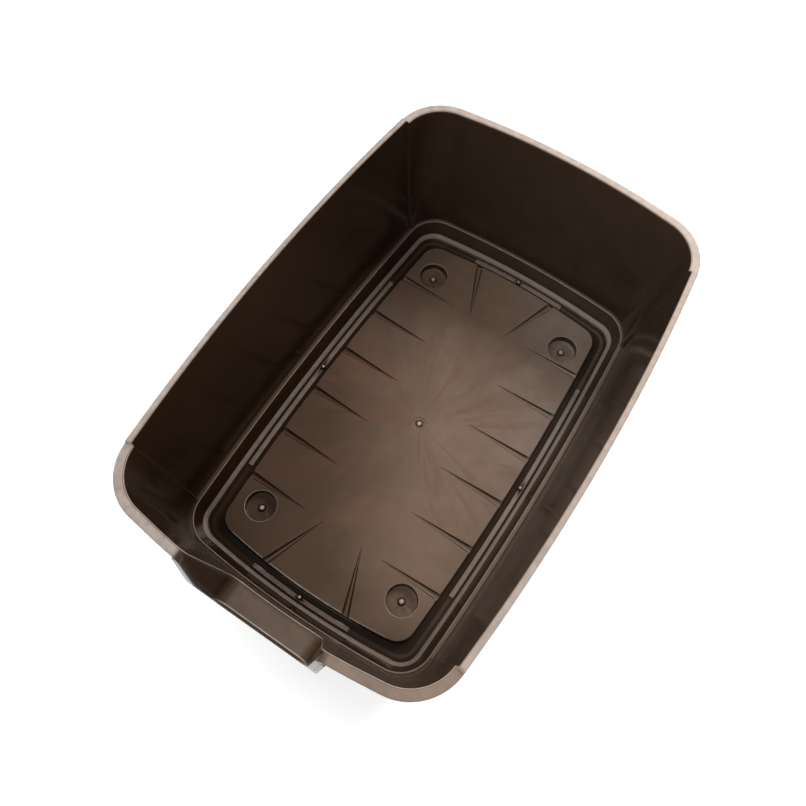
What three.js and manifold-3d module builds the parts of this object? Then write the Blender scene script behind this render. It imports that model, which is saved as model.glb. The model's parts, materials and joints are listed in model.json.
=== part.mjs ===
// Open litter pan with a low front entry, standing on four push-in rubber feet.
//
// Millimetres, +Z up, entry towards -Y. The origin is on the floor, under the middle of the pan's
// overall outline. The pan is one moulding: a raised floor panel with drain grooves, a trench around
// it with four narrow strips, a stepped bead and a ledge, walls that lean out to a turned-down rim,
// and an entry cut low into the front wall. The feet plug into sockets under four round wells in the floor.

import * as THREE from 'three';
import { mergeVertices } from 'three/addons/utils/BufferGeometryUtils.js';
import Module from 'manifold-3d';

const wasm = await Module();
wasm.setup();

// ---- Driving dimensions -------------------------------------------------------------------------

// Rim: the outer edge of the turned-down flange, over its bowed sides.
const rimWidth = 396;
const rimLength = 600;
const rimHeight = 209.5; // top of the flange at the corners and ends
const rimSideBow = 16.2; // how far each long side bulges out of its corner-to-corner line
const rimEndBow = 17.4;
const rimCorner = 58;
const rimBand = 9.4; // flange width from its outer edge to the wall
const rimRise = 2.5; // the long sides stand this much higher than the corners
const panelOut = 2.8; // the long walls are set out from the corner walls by this step
const flangeThickness = 3.6;
const skirtDepth = 11;
const skirtWall = 2.4;
const rimEdge = 1.4; // rounding of the flange's outer edge
const innerEdge = { down: 1, out: 0.8 }; // easing where the wall meets the flange

// Base: the ledge where the walls start, by how far the corner walls lean out above it.
const sideLean = 26.3;
const endLean = 23.6;
const ledgeHeight = 30.8;
const ledgeInner = 1.1; // ledge tread inside and outside its own line
const ledgeOuter = 1.0;
const baseSideBow = 8.7;
const baseEndBow = 9.9;
const ledgeCorner = 40;

// Bead, strips and trench, as insets from the ledge line. The bead's outer edge stands higher.
const bead = { height: 9.6, rise: 3, outer: 8.9, inner: 12.4, corner: 27 };
const strip = { height: 7.5, width: 5.2, outer: 15.4, fromSide: 89.5, fromEnd: 104 };
const stripRemnant = 0.1; // height of the strip's line above the trench where there is no strip
const stripTaper = 3; // length of each strip's sloping end
const trenchBottom = 5.2;
const trenchCorner = 22.5;
const panelInset = 28.4; // edge of the raised floor panel
const panelCorner = 22;
const panelRound = 1.2; // easing of the panel's top edge
const floorHeight = 16; // top of the raised floor panel
const draft = 0.4; // lean of each low upright face, so that it leaves the mould

// Walls.
const wallThickness = 2.6;
const floorThickness = 2.6;
const riserWall = 2.4; // wall of the floor panel's upright edge

// Entry: a notch in the front wall with a wide, flat lip.
const entry = {
  height: 80, // lip above the floor that the pan stands on
  fromCorner: 38.8, // from the start of the rim's corner to the top of the entry's side
  sideAngle: THREE.MathUtils.degToRad(82),
  lowerRadius: 16,
  upperRadius: 12,
  reach: 6, // how far the lip stands out past the middle of the rim
  edge: 5, // rounding of the lip's outer edge
  straightBelow: 0.5, // share of the entry's depth where its front has become straight
};

// Drain grooves in the floor panel.
const groove = { perSide: 6, fromEnd: 94, innerX: 53, radius: 4.4, tipRadius: 0.3, overrun: 3 };
const endGroove = { outerX: 55, innerX: 27 };

// Round wells, feet and small marks.
const well = { fromSide: 56.9, fromEnd: 69, radius: 18.6, floor: 5.2 };
const pip = { wall: 1.9, top: 2 }; // plastic round and over a foot's socket
const foot = { radius: 15, edge: 0.8, stemRadius: 2.8, stemLength: 3.3 };
const fitGap = 0.3; // between a foot and the pan, on every face
const nubRadius = 3.3;
const nubPlace = 0.75; // how far in over a strip's width its nub stands
const gate = { radius: 8.8, depth: 0.8, domeRadius: 4.6, domeHeight: 1.6 };

// Sizes that follow from those above.
const rimCornerHalfWidth = rimWidth / 2 - rimSideBow;
const rimCornerHalfLength = rimLength / 2 - rimEndBow;
const ledgeHalfWidth = rimCornerHalfWidth - sideLean;
const ledgeHalfLength = rimCornerHalfLength - endLean;
const stripHalfWidth = ledgeHalfWidth - strip.fromSide;
const stripHalfLength = ledgeHalfLength - strip.fromEnd;
const lastGrooveY = ledgeHalfLength - groove.fromEnd;
const wellX = ledgeHalfWidth - well.fromSide;
const wellY = ledgeHalfLength - well.fromEnd;
const wellBottom = well.floor - floorThickness;
const socketRadius = foot.stemRadius + fitGap;
const socketTop = wellBottom + foot.stemLength + fitGap;
const topHalfWidth = rimCornerHalfWidth - rimCorner - entry.fromCorner;

// ---- Outlines -----------------------------------------------------------------------------------

const mix = THREE.MathUtils.lerp;
const bowRadius = (halfChord, rise) => (halfChord ** 2 + rise ** 2) / (2 * rise);

// A rectangle with bowed sides and round corners, for its +X +Y quarter. Each side is one large arc,
// and the corner is an arc tangent to both.
function outline({ halfWidth, halfLength, sideBow, endBow, corner }) {
  const sideRadius = bowRadius(halfLength, sideBow);
  const endRadius = bowRadius(halfWidth, endBow);
  const sideCentre = halfWidth + sideBow - sideRadius; // on the X axis
  const endCentre = halfLength + endBow - endRadius; // on the Y axis
  // The corner's centre lies at a known distance from both of those centres.
  const fromSide = sideRadius - corner;
  const fromEnd = endRadius - corner;
  const span = Math.hypot(sideCentre, endCentre);
  const along = (fromSide ** 2 - fromEnd ** 2 + span ** 2) / (2 * span);
  const across = Math.sqrt(fromSide ** 2 - along ** 2);
  const x = sideCentre - (sideCentre * along + endCentre * across) / span;
  const y = (endCentre * along - sideCentre * across) / span;
  const start = Math.atan2(y, x - sideCentre);
  const end = Math.atan2(y - endCentre, x);
  return {
    tangentY: sideRadius * Math.sin(start),
    sideX: (py) => sideCentre + Math.sqrt(sideRadius ** 2 - py ** 2),
    endY: (px) => endCentre + Math.sqrt(endRadius ** 2 - px ** 2),
    cornerPoint(t) {
      const angle = mix(start, end, t);
      return [x + corner * Math.cos(angle), y + corner * Math.sin(angle)];
    },
  };
}

// The outline at a share of the wall's height: 0 is the ledge line and 1 the rim's outer edge.
function wallOutline(share, inset, corner) {
  return outline({
    halfWidth: mix(ledgeHalfWidth, rimCornerHalfWidth, share) - inset,
    halfLength: mix(ledgeHalfLength, rimCornerHalfLength, share) - inset,
    sideBow: mix(baseSideBow, rimSideBow, share),
    endBow: mix(baseEndBow, rimEndBow, share),
    corner,
  });
}

// ---- Entry notch --------------------------------------------------------------------------------

// Half of the notch from the middle outwards: flat lip, lower fillet, straight side, upper round.
// Each point has its height and its slope, so the flange keeps its thickness round the notch.
function notchPoints() {
  const { sideAngle, lowerRadius, upperRadius, height } = entry;
  const drop = rimHeight - height;
  const arcs = lowerRadius + upperRadius;
  const straight = (drop - arcs * (1 - Math.cos(sideAngle))) / Math.sin(sideAngle);
  const flat = topHalfWidth - arcs * Math.sin(sideAngle) - straight * Math.cos(sideAngle);
  const points = [{ x: flat / 2, z: height, slope: 0 }];
  const arcSteps = 4;
  const straightSteps = [0.5, 0.72]; // shares of the straight side that carry a station
  for (let i = 0; i <= arcSteps; i++) {
    const slope = (sideAngle * i) / arcSteps;
    const x = flat + lowerRadius * Math.sin(slope);
    points.push({ x, z: height + lowerRadius * (1 - Math.cos(slope)), slope });
  }
  const start = points.at(-1);
  for (const share of straightSteps) {
    const run = straight * share;
    const x = start.x + run * Math.cos(sideAngle);
    points.push({ x, z: start.z + run * Math.sin(sideAngle), slope: sideAngle });
  }
  for (let i = arcSteps; i >= 0; i--) {
    const slope = (sideAngle * i) / arcSteps;
    const x = topHalfWidth - upperRadius * Math.sin(slope);
    points.push({ x, z: rimHeight - upperRadius * (1 - Math.cos(slope)), slope });
  }
  return points;
}

// ---- Stations round the pan ---------------------------------------------------------------------

// A station is a place round the outline. Side stations give their Y, end stations their X, and
// corner stations a share of the corner's arc. Signs place them in their quarter.
const cornerSteps = 8;
const cornerClear = 20; // the last end station stands this far before the corner
const plain = { slope: 0, z: rimHeight, panel: false };

function stations() {
  const list = [];
  const cornerRun = (sx, sy, reverse) => {
    for (let i = 0; i <= cornerSteps; i++) {
      const t = (reverse ? cornerSteps - i : i) / cornerSteps;
      list.push({ ...plain, kind: 'corner', sx, sy, t });
    }
  };
  const sideYs = [stripHalfLength + stripTaper, ...[1, 2 / 3, 1 / 3].map((t) => t * stripHalfLength)];
  const sidePlain = { ...plain, kind: 'side', panel: true, z: rimHeight + rimRise };
  const side = (sx, direction) => {
    const shares = [-1, ...sideYs.map((y) => -y), 0, ...sideYs.toReversed(), 1];
    for (const value of shares) {
      const nearCorner = Math.abs(value) === 1;
      const place = nearCorner ? { end: value * direction } : { y: value * direction };
      const onStrip = Math.abs(value) <= stripHalfLength;
      list.push({ ...sidePlain, sx, onStrip, ...place });
    }
  };
  const end = (sy, half, direction) => {
    const outwards = [...half, { ...plain, x: rimCornerHalfWidth - rimCorner - cornerClear }];
    const mirrored = outwards.toReversed().map((p) => ({ ...p, x: -p.x, slope: -p.slope }));
    for (const p of [...mirrored, { ...half[0], x: 0, slope: 0 }, ...outwards]) {
      const onStrip = Math.abs(p.x) <= stripHalfWidth;
      const slope = p.slope * direction;
      list.push({ ...plain, ...p, kind: 'end', sy, x: p.x * direction, slope, onStrip });
    }
  };
  const backXs = [1 / 3, 2 / 3, 1].map((t) => t * stripHalfWidth).concat(stripHalfWidth + stripTaper);
  side(1, 1); // +X side, towards +Y
  cornerRun(1, 1, false);
  end(1, backXs.map((x) => ({ ...plain, x })), -1); // back, towards -X
  cornerRun(-1, 1, true);
  side(-1, -1); // -X side, towards -Y
  cornerRun(-1, -1, false);
  end(-1, notchPoints(), 1); // front, towards +X
  cornerRun(1, -1, true);
  return list;
}

// The point where a ring of the pan crosses a station.
const panelRun = 2; // length of the step between a corner wall and a long wall
function onOutline(ring, at, x = at.x) {
  if (at.kind === 'corner') {
    const [px, py] = ring.cornerPoint(at.t);
    return [at.sx * px, at.sy * py];
  }
  if (at.kind === 'side') {
    const y = at.end ? at.end * (ring.tangentY - panelRun) : at.y;
    return [at.sx * ring.sideX(y), y];
  }
  return [x, at.sy * ring.endY(x)];
}

// ---- Pan section --------------------------------------------------------------------------------

// Below the ledge each point of the section is an inset from the ledge line and a height. Its corner
// runs parallel to the corner of the ring that it belongs to.
const low = (inset, z, ring) => (at) => {
  const height = typeof z === 'function' ? z(at) : z;
  const outline = wallOutline(0, inset, ring.corner - (inset - ring.inset));
  return [...onOutline(outline, at), height];
};

// A point on the wall at height z. The long walls stand further out than the corner walls.
function onWall(at, z, outwards, x) {
  const share = (z - ledgeHeight) / (rimHeight - ledgeHeight);
  const inset = mix(-ledgeOuter, rimBand, share) - outwards;
  const corner = mix(ledgeCorner, rimCorner - rimBand, share) + outwards;
  const [px, py] = onOutline(wallOutline(share, inset, corner), at, x);
  return [px + (at.panel ? at.sx * panelOut : 0), py, z];
}

// How far down the entry a station is: 0 at the rim and 1 at the lip.
const notchShare = (at) => Math.max(0, (rimHeight - at.z) / (rimHeight - entry.height));

// A point on the flange, measured in from its outer edge and down from its top, square to the notch.
const flange = (inset, depth) => (at) => {
  const share = notchShare(at);
  const edge = mix(rimEdge, entry.edge, share);
  const down = depth(edge);
  const x = at.kind === 'end' ? at.x + down * Math.sin(at.slope) : undefined;
  const z = at.z - down * Math.cos(at.slope);
  const ring = wallOutline(1, inset(edge), rimCorner - inset(edge));
  const [px, py] = onOutline(ring, at, x);
  if (!share) return [px, py, z];
  const lipY = -(rimLength / 2 + entry.reach - inset(edge));
  return [px, mix(py, lipY, Math.min(1, share / entry.straightBelow)), z];
};

const wallTop = (down, outwards) => (at) => {
  const x = at.kind === 'end' ? at.x + down * Math.sin(at.slope) : undefined;
  return onWall(at, at.z - down * Math.cos(at.slope), outwards, x);
};

const stripInner = strip.outer + strip.width;
const stripTop = (at) => (at.onStrip ? strip.height : trenchBottom + stripRemnant);
const underside = trenchBottom - floorThickness;
const roundShare = 1 - Math.SQRT1_2; // where a round's middle lies between its two tangent points

const ledgeRing = { inset: 0, corner: ledgeCorner };
const beadRing = { inset: bead.outer, corner: bead.corner };
const trenchRing = { inset: strip.outer, corner: trenchCorner };
const panelRing = { inset: panelInset, corner: panelCorner };

// The section from the middle of the floor, up the inside, over the rim and back underneath. It is
// reversed because the stations run anticlockwise seen from above.
const section = [
  () => [0, 0, floorHeight],
  low(panelInset + panelRound, floorHeight, panelRing),
  low(panelInset, floorHeight - panelRound, panelRing),
  low(panelInset - draft, trenchBottom, panelRing),
  low(stripInner + draft, trenchBottom, trenchRing),
  low(stripInner, stripTop, trenchRing),
  low(strip.outer, stripTop, trenchRing),
  low(strip.outer - draft, trenchBottom, trenchRing),
  low(bead.inner + draft, trenchBottom, beadRing),
  low(bead.inner, bead.height, beadRing),
  low(bead.outer, bead.height + bead.rise, beadRing),
  low(ledgeInner, ledgeHeight, ledgeRing),
  (at) => onWall(at, ledgeHeight, 0),
  wallTop(innerEdge.down, 0),
  wallTop(0, innerEdge.out),
  flange((edge) => edge, () => 0),
  flange((edge) => roundShare * edge, (edge) => roundShare * edge),
  flange(() => 0, (edge) => edge),
  flange(() => 0, () => skirtDepth),
  flange(() => skirtWall, () => skirtDepth),
  flange(() => skirtWall, () => flangeThickness),
  wallTop(flangeThickness, wallThickness),
  (at) => onWall(at, ledgeHeight - floorThickness, wallThickness),
  low(ledgeInner - wallThickness, ledgeHeight - floorThickness, ledgeRing),
  low(bead.outer - wallThickness, bead.height - floorThickness, beadRing),
  low(bead.inner - floorThickness / 2, underside, beadRing),
  low(panelInset + riserWall - draft, underside, panelRing),
  low(panelInset + riserWall, floorHeight - floorThickness, panelRing),
  () => [0, 0, floorHeight - floorThickness],
].reverse();

// ---- Solids -------------------------------------------------------------------------------------

function solid(geometry) {
  const bare = geometry.clone();
  bare.deleteAttribute('normal');
  bare.deleteAttribute('uv');
  const merged = mergeVertices(bare, 1e-4);
  const triVerts = [];
  for (let i = 0; i < merged.index.count; i += 3) {
    const [a, b, c] = [0, 1, 2].map((k) => merged.index.getX(i + k));
    if (a !== b && b !== c && a !== c) triVerts.push(a, b, c);
  }
  return new wasm.Manifold(new wasm.Mesh({
    numProp: 3,
    vertProperties: Float32Array.from(merged.attributes.position.array),
    triVerts: Uint32Array.from(triVerts),
  }));
}

function geometryOf(manifold) {
  const mesh = manifold.getMesh();
  const geometry = new THREE.BufferGeometry();
  geometry.setAttribute('position', new THREE.BufferAttribute(mesh.vertProperties, 3));
  geometry.setIndex(new THREE.BufferAttribute(mesh.triVerts, 1));
  geometry.computeVertexNormals();
  return geometry;
}

const union = (solids) => solids.reduce((sum, next) => sum.add(next));

// A lathe gives the section's rings, and each ring is then drawn out to the pan's outline.
function panShell() {
  const places = stations();
  const profile = section.map((_, i) => new THREE.Vector2(i % (section.length - 1) ? 1 : 0, i));
  const geometry = new THREE.LatheGeometry(profile, places.length);
  const position = geometry.attributes.position;
  for (let i = 0; i < position.count; i++) {
    const at = places[Math.floor(i / section.length) % places.length];
    position.setXYZ(i, ...section[i % section.length](at));
  }
  return solid(geometry);
}

const overlap = 1; // how far solids that join or cut run past each other's faces
const wellSides = 32;
const smallSides = 16;

// A cylinder along Z between two heights.
function post(radius, z0, z1, sides) {
  const geometry = new THREE.CylinderGeometry(radius, radius, z1 - z0, sides);
  return geometry.rotateX(Math.PI / 2).translate(0, 0, (z0 + z1) / 2);
}

// A dome of a given base radius and height, sunk a little so that it joins what it stands on.
function dome(radius, height) {
  const sunk = overlap / 2;
  const steps = 4;
  const sphere = (radius ** 2 + height ** 2) / (2 * height);
  const reach = Math.acos((sphere - height - sunk) / sphere);
  const points = [new THREE.Vector2(0, -sunk)];
  for (let i = steps; i >= 0; i--) {
    const angle = (reach * i) / steps;
    const z = sphere * Math.cos(angle) - sphere + height;
    points.push(new THREE.Vector2(sphere * Math.sin(angle), z));
  }
  return new THREE.LatheGeometry(points, smallSides).rotateX(Math.PI / 2);
}

// ---- Floor details ------------------------------------------------------------------------------

const panelEdge = wallOutline(0, panelInset, panelCorner);

// Each groove as the line of its cone: from its pointed inner end to the panel's edge.
function grooveLines() {
  const lines = [];
  for (const sx of [1, -1]) {
    for (let i = 0; i < groove.perSide; i++) {
      const y = mix(-lastGrooveY, lastGrooveY, i / (groove.perSide - 1));
      lines.push({ from: [sx * groove.innerX, y], to: [sx * panelEdge.sideX(y), y] });
    }
    for (const sy of [1, -1]) {
      const from = [sx * endGroove.innerX, sy * lastGrooveY];
      lines.push({ from, to: [sx * endGroove.outerX, sy * panelEdge.endY(endGroove.outerX)] });
    }
  }
  return lines;
}

// A cone laid in the top of the floor panel along a groove's line.
function grooveCone({ from, to }, wall, overrun) {
  const run = new THREE.Vector2(to[0] - from[0], to[1] - from[1]);
  const length = run.length() + overrun;
  const tip = groove.tipRadius + wall;
  const mouth = groove.radius + wall;
  const sides = 12;
  const geometry = new THREE.CylinderGeometry(mouth, tip, length, sides);
  geometry.translate(0, length / 2, 0).rotateZ(-Math.PI / 2).rotateZ(run.angle());
  return solid(geometry.translate(from[0], from[1], floorHeight));
}

// A slab as wide and long as the floor panel, between two heights.
function panelSlab(z0, z1) {
  const width = 2 * (ledgeHalfWidth - panelInset + baseSideBow);
  const length = 2 * (ledgeHalfLength - panelInset + baseEndBow);
  return solid(new THREE.BoxGeometry(width, length, z1 - z0).translate(0, 0, (z0 + z1) / 2));
}

function quarters(makeAt) {
  const all = [];
  for (const sx of [1, -1]) for (const sy of [1, -1]) all.push(makeAt(sx, sy));
  return all;
}

const onWells = (geometry) =>
  union(quarters((sx, sy) => solid(geometry.clone().translate(sx * wellX, sy * wellY, 0))));

// A nub stands on the strip in the middle of each side.
function nubs() {
  const line = wallOutline(0, strip.outer + nubPlace * strip.width, trenchCorner);
  const places = [[line.sideX(0), 0], [-line.sideX(0), 0], [0, line.endY(0)], [0, -line.endY(0)]];
  const ball = new THREE.SphereGeometry(nubRadius, smallSides, smallSides / 2);
  return union(places.map(([x, y]) => solid(ball.clone().translate(x, y, strip.height))));
}

function buildPan() {
  const lines = grooveLines();
  const ribs = union(lines.map((line) => grooveCone(line, floorThickness, -fitGap)));
  const ribSlab = panelSlab(floorHeight - groove.radius - floorThickness, floorHeight - overlap);
  const grooves = union(lines.map((line) => grooveCone(line, 0, groove.overrun)));
  const pipDome = dome(socketRadius + pip.wall, socketTop + pip.top - well.floor);
  const gateFloor = floorHeight - gate.depth;
  const above = floorHeight + overlap;
  return union([
    panShell(),
    ribs.intersect(ribSlab),
    onWells(post(well.radius + floorThickness, wellBottom, floorHeight - overlap, wellSides)),
  ])
    .subtract(grooves)
    .subtract(onWells(post(well.radius, well.floor, above, wellSides)))
    .add(onWells(pipDome.translate(0, 0, well.floor)))
    .subtract(onWells(post(socketRadius, wellBottom - overlap, socketTop, smallSides)))
    .subtract(solid(post(gate.radius, gateFloor, above, wellSides)))
    .add(solid(dome(gate.domeRadius, gate.domeHeight).translate(0, 0, gateFloor)))
    .add(nubs());
}

// A rubber foot: a round pad with eased edges and a stem that plugs into the well's socket.
function footGeometry() {
  const top = wellBottom - fitGap;
  const sides = 24;
  const { radius, edge, stemRadius, stemLength } = foot;
  const outlinePoints = [
    [0, 0], [radius - edge, 0], [radius, edge], [radius, top - edge], [radius - edge, top],
    [stemRadius, top], [stemRadius, top + stemLength - edge], [stemRadius - edge, top + stemLength],
    [0, top + stemLength],
  ].map(([r, z]) => new THREE.Vector2(r, z));
  return new THREE.LatheGeometry(outlinePoints, sides).rotateX(Math.PI / 2);
}

// ---- Model --------------------------------------------------------------------------------------

const plastic = { color: 0x3a2a1e, roughness: 0.35, metalness: 0 };
const rubber = { color: 0x1c1917, roughness: 0.85, metalness: 0 };

function part(name, geometry, look) {
  const mesh = new THREE.Mesh(geometry, new THREE.MeshStandardMaterial(look));
  mesh.name = name;
  return mesh;
}

const model = new THREE.Group();
model.position.y = entry.reach / 2; // centres the overall outline, lip included

model.add(part('pan_shell', geometryOf(buildPan()), plastic));
for (const [end, sy] of [['front', -1], ['back', 1]]) {
  for (const [side, sx] of [['left', -1], ['right', 1]]) {
    const mesh = part(`foot_${end}_${side}`, footGeometry(), rubber);
    mesh.position.set(sx * wellX, sy * wellY, 0);
    model.add(mesh);
  }
}

export default model;
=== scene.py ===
import json
import math
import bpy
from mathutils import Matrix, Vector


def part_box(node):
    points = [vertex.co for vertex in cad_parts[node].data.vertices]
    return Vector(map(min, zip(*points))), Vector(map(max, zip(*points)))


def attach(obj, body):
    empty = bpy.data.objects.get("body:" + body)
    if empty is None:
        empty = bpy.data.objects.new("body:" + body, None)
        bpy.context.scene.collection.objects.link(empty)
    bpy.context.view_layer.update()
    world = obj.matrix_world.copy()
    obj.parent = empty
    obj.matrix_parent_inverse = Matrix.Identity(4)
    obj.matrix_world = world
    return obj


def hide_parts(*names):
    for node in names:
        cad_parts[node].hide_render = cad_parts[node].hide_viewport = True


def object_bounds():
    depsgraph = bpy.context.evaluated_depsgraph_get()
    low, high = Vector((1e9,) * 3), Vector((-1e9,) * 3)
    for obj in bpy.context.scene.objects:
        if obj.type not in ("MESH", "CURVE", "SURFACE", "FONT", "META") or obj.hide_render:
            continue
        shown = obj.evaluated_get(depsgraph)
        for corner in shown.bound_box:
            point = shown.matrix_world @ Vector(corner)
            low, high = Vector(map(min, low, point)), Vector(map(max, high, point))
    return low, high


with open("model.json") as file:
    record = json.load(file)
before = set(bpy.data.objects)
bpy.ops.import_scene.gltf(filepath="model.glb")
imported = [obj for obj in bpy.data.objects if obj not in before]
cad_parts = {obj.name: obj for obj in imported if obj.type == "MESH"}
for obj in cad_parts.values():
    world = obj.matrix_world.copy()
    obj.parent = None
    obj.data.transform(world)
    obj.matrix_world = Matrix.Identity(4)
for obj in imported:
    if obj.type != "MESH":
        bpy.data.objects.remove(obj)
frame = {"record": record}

from types import SimpleNamespace

import bpy
from mathutils import Matrix, Vector

bl_info = {
    "name": "Litter pan",
    "version": (1, 0, 0),
    "blender": (4, 5, 0),
    "location": "3D View > Sidebar > Litter pan",
    "description": "Builds an open litter pan with a low entry, its four feet and a plain studio",
    "category": "Object",
}

# ---- What the frame gives, in metres --------------------------------------------------------------

CAD_LOW, CAD_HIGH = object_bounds()
PAN_LOW, PAN_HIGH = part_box("pan_shell")
FOOT_NODES = ("foot_front_left", "foot_front_right", "foot_back_left", "foot_back_right")


def middle(node):
    low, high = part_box(node)
    return (low + high) / 2


WELLS = [middle(node) for node in FOOT_NODES]
CENTRE_Y = sum(well.y for well in WELLS) / len(WELLS)  # the middle of the tub
RIM_HALF_WIDTH = PAN_HIGH.x
RIM_HALF_LENGTH = PAN_HIGH.y - CENTRE_Y
LIP_REACH = CENTRE_Y - PAN_LOW.y - RIM_HALF_LENGTH  # the entry lip stands out past the rim
MOUNTS = {mount["name"]: mount for mount in frame["record"]["mounts"]}
RIM_TOP = MOUNTS["rim_back"]["pos_m"][2]  # top of the flange at the corners and ends
RIM_RISE = PAN_HIGH.z - RIM_TOP  # the long sides stand this much higher


# ---- Sizes and colours ----------------------------------------------------------------------------

def length(name, description, default):
    return bpy.props.FloatProperty(
        name=name, description=description, default=default, min=0, unit="LENGTH", precision=4)


def colour(name, description, default):
    return bpy.props.FloatVectorProperty(
        name=name, description=description, default=default, min=0, max=1, subtype="COLOR", size=3)


def factor(name, description, default):
    return bpy.props.FloatProperty(
        name=name, description=description, default=default, min=0, max=1, subtype="FACTOR")


def power(name, description, default):
    return bpy.props.FloatProperty(
        name=name, description=description, default=default, min=0, unit="POWER")


class PanSizes(bpy.types.PropertyGroup):
    """Sizes of the pan's moulding."""

    side_bow: length("Side bow", "How far each long side bulges at the rim", 0.0162)
    end_bow: length("End bow", "How far each end bulges at the rim", 0.0174)
    rim_corner: length("Rim corner", "Corner radius of the rim's outer edge", 0.058)
    rim_band: length("Rim band", "Width of the flange at the corners and ends", 0.0094)
    panel_out: length("Side step", "How far the long walls stand out from the corner walls", 0.0028)
    panel_run: length("Side step run", "Length of that step along the wall", 0.002)
    flange: length("Flange thickness", "Thickness of the rim's flange", 0.0036)
    crown: length("Flange crown", "How far the flange falls towards its outer edge", 0.0011)
    skirt: length("Skirt depth", "Depth of the rim's turned-down skirt", 0.011)
    skirt_wall: length("Skirt wall", "Thickness of the skirt", 0.0024)
    rim_edge: length("Rim edge", "Rounding of the flange's outer edge", 0.0014)
    wall: length("Wall thickness", "Thickness of the upright walls", 0.0026)
    floor: length("Floor thickness", "Thickness of the floor", 0.0026)
    side_lean: length("Side lean", "How far the long walls lean out", 0.0263)
    end_lean: length("End lean", "How far the end walls lean out", 0.0236)
    base_side_bow: length("Base side bow", "How far each long side bulges at the ledge", 0.0087)
    base_end_bow: length("Base end bow", "How far each end bulges at the ledge", 0.0099)
    ledge_height: length("Ledge height", "Height of the ledge where the walls start", 0.0308)
    ledge_tread: length("Ledge tread", "Half width of the ledge at the corners", 0.00105)
    ledge_corner: length("Ledge corner", "Corner radius of the ledge", 0.040)
    bead_height: length("Bead height", "Top of the bead's inner edge", 0.0096)
    bead_outer: length("Bead start", "Outer edge of the bead, from the ledge", 0.0089)
    bead_inner: length("Bead end", "Inner edge of the bead, from the ledge", 0.0124)
    bead_corner: length("Bead corner", "Corner radius of the bead", 0.027)
    bead_round: length("Bead round", "Rounding of the bead's edges", 0.0015)
    bead_rise: length("Bead rise", "How much higher the bead's outer edge is", 0.003)
    strip_outer: length("Strip outer edge", "Outer edge of the narrow strips, from the ledge", 0.0154)
    strip_height: length("Strip height", "Top of the strips in the trench", 0.0075)
    strip_width: length("Strip width", "Width of the strips", 0.0052)
    strip_side: length("Strip side gap", "From the ledge's side to the end strips' ends", 0.0895)
    strip_end: length("Strip end gap", "From the ledge's end to the side strips' ends", 0.104)
    trench: length("Trench height", "Bottom of the trench", 0.0052)
    trench_round: length("Trench round", "Rounding of the trench's bottom", 0.0012)
    trench_corner: length("Trench corner", "Corner radius of the trench's outer side", 0.0225)
    panel_inset: length("Panel inset", "From the ledge to the raised floor panel", 0.0284)
    panel_corner: length("Panel corner", "Corner radius of the floor panel", 0.022)
    panel_round: length("Panel round", "Rounding of the floor panel's top edge", 0.0016)
    panel_height: length("Panel height", "Top of the floor panel", 0.016)
    riser_wall: length("Riser wall", "Wall of the floor panel's upright edge", 0.0024)
    draft: length("Draft", "Lean of each low upright face", 0.0004)


class EntrySizes(bpy.types.PropertyGroup):
    """Sizes of the low entry in the front wall."""

    height: length("Lip height", "Height of the entry's flat lip", 0.080)
    corner_gap: length("Corner gap", "From the rim's corner to the entry's top edge", 0.0388)
    lower_radius: length("Lower radius", "Radius between the lip and the entry's side", 0.016)
    upper_radius: length("Upper radius", "Radius between the entry's side and the rim", 0.012)
    lip_edge: length("Lip edge", "Rounding of the lip's outer edge", 0.003)
    roll: length("Lip roll", "Width of the rolled edge outside the flat lip", 0.004)
    roll_drop: length("Lip roll drop", "How far the rolled edge falls", 0.003)
    side_angle: bpy.props.FloatProperty(
        name="Side angle", description="Slope of the entry's sides", subtype="ANGLE",
        default=math.radians(82))
    straight_below: factor("Straight below", "Share of the depth where the front is straight", 0.5)


class FloorSizes(bpy.types.PropertyGroup):
    """Sizes of what is cut into and stands on the floor."""

    grooves: bpy.props.IntProperty(
        name="Grooves", description="Grooves along each long side", default=6, min=2)
    groove_end: length("Groove end gap", "From the ledge's end to the last groove", 0.094)
    groove_inner: length("Groove start", "From the middle line to the grooves' points", 0.053)
    groove_radius: length("Groove radius", "Radius of a groove at the panel's edge", 0.0044)
    groove_tip: length("Groove tip", "Radius of a groove at its point", 0.0003)
    end_groove_outer: length("End groove mouth", "Mouths of the end grooves, from the middle", 0.055)
    end_groove_inner: length("End groove start", "Points of the end grooves, from the middle", 0.027)
    edge_round: length("Edge round", "Rounding of the edges cut into the floor", 0.0007)
    well_radius: length("Well radius", "Radius of the round wells over the feet", 0.0186)
    well_floor: length("Well floor", "Height of the wells' floor", 0.0052)
    pip_wall: length("Pip wall", "Plastic round a foot's socket", 0.0019)
    pip_top: length("Pip top", "Plastic over a foot's socket", 0.002)
    nub_radius: length("Nub radius", "Radius of the four nubs on the strips", 0.0033)
    gate_radius: length("Gate radius", "Radius of the dimple round the gate mark", 0.0088)
    gate_depth: length("Gate depth", "Depth of that dimple", 0.0008)
    dome_radius: length("Gate dome radius", "Radius of the gate mark's dome", 0.0046)
    dome_height: length("Gate dome height", "Height of the gate mark's dome", 0.0016)
    ejector_radius: length("Ejector mark radius", "Radius of the faint round mark", 0.0083)
    ejector_depth: length("Ejector mark depth", "Depth of the faint round mark", 0.00025)
    ejector_y: length("Ejector mark place", "From the middle of the tub to that mark", 0.179)


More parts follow.
